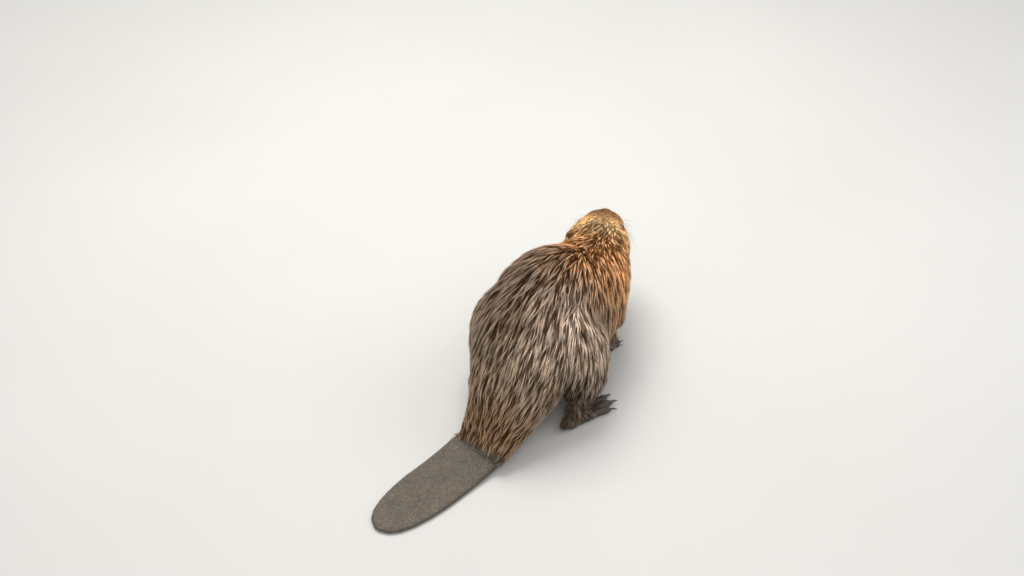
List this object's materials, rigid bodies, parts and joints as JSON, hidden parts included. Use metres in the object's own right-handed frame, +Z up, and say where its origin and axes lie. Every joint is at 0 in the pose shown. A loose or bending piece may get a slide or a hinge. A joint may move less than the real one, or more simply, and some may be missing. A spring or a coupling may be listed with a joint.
{
  "type": "eurasian beaver model",
  "caption": "Life-size still model of a beaver standing on all fours with an arched back, its head turned a little to its left and its flat scaly tail laid out behind.",
  "frame": {"origin": "on the floor, under the middle of the whole animal's length and width", "axes": "+Z up, -Y the way the trunk faces, +X the animal's left side"},
  "size_m": [0.3514, 0.8992, 0.2949],
  "materials": {
    "fur_back": "long damp guard hair in locks, dark grey-brown with tan tips",
    "fur_front": "golden brown fur of the head, neck, shoulders and tail root",
    "tail_scales": "bare skin in fine flat scales, dull sheen",
    "bare_skin": "dark, finely wrinkled skin of the feet, hands and nose",
    "claw": "dark horn, satin",
    "eye": "dark brown, wet and glossy"
  },
  "bodies": {
    "root": {"tail_root": "fur_front", "trunk": "fur_back", "neck": "fur_front", "tail_paddle": "tail_scales", "head": "fur_front", "eye_left": "eye", "eye_right": "eye", "ear_left": "fur_front", "ear_right": "fur_front", "nose": "bare_skin", "thigh_left": "fur_back", "hind_leg_left": "fur_back", "hind_foot_left": "bare_skin", "upper_arm_left": "fur_front", "forearm_left": "fur_front", "hand_left": "bare_skin", "hind_claw_left_1": "claw", "hind_claw_left_2": "claw", "hind_claw_left_3": "claw", "hind_claw_left_4": "claw", "hind_claw_left_5": "claw", "claw_left_1": "claw", "claw_left_2": "claw", "claw_left_3": "claw", "claw_left_4": "claw", "claw_left_5": "claw", "thigh_right": "fur_back", "hind_leg_right": "fur_back", "hind_foot_right": "bare_skin", "upper_arm_right": "fur_front", "forearm_right": "fur_front", "hand_right": "bare_skin", "hind_claw_right_1": "claw", "hind_claw_right_2": "claw", "hind_claw_right_3": "claw", "hind_claw_right_4": "claw", "hind_claw_right_5": "claw", "claw_right_1": "claw", "claw_right_2": "claw", "claw_right_3": "claw", "claw_right_4": "claw", "claw_right_5": "claw"}
  },
  "joints": []
}
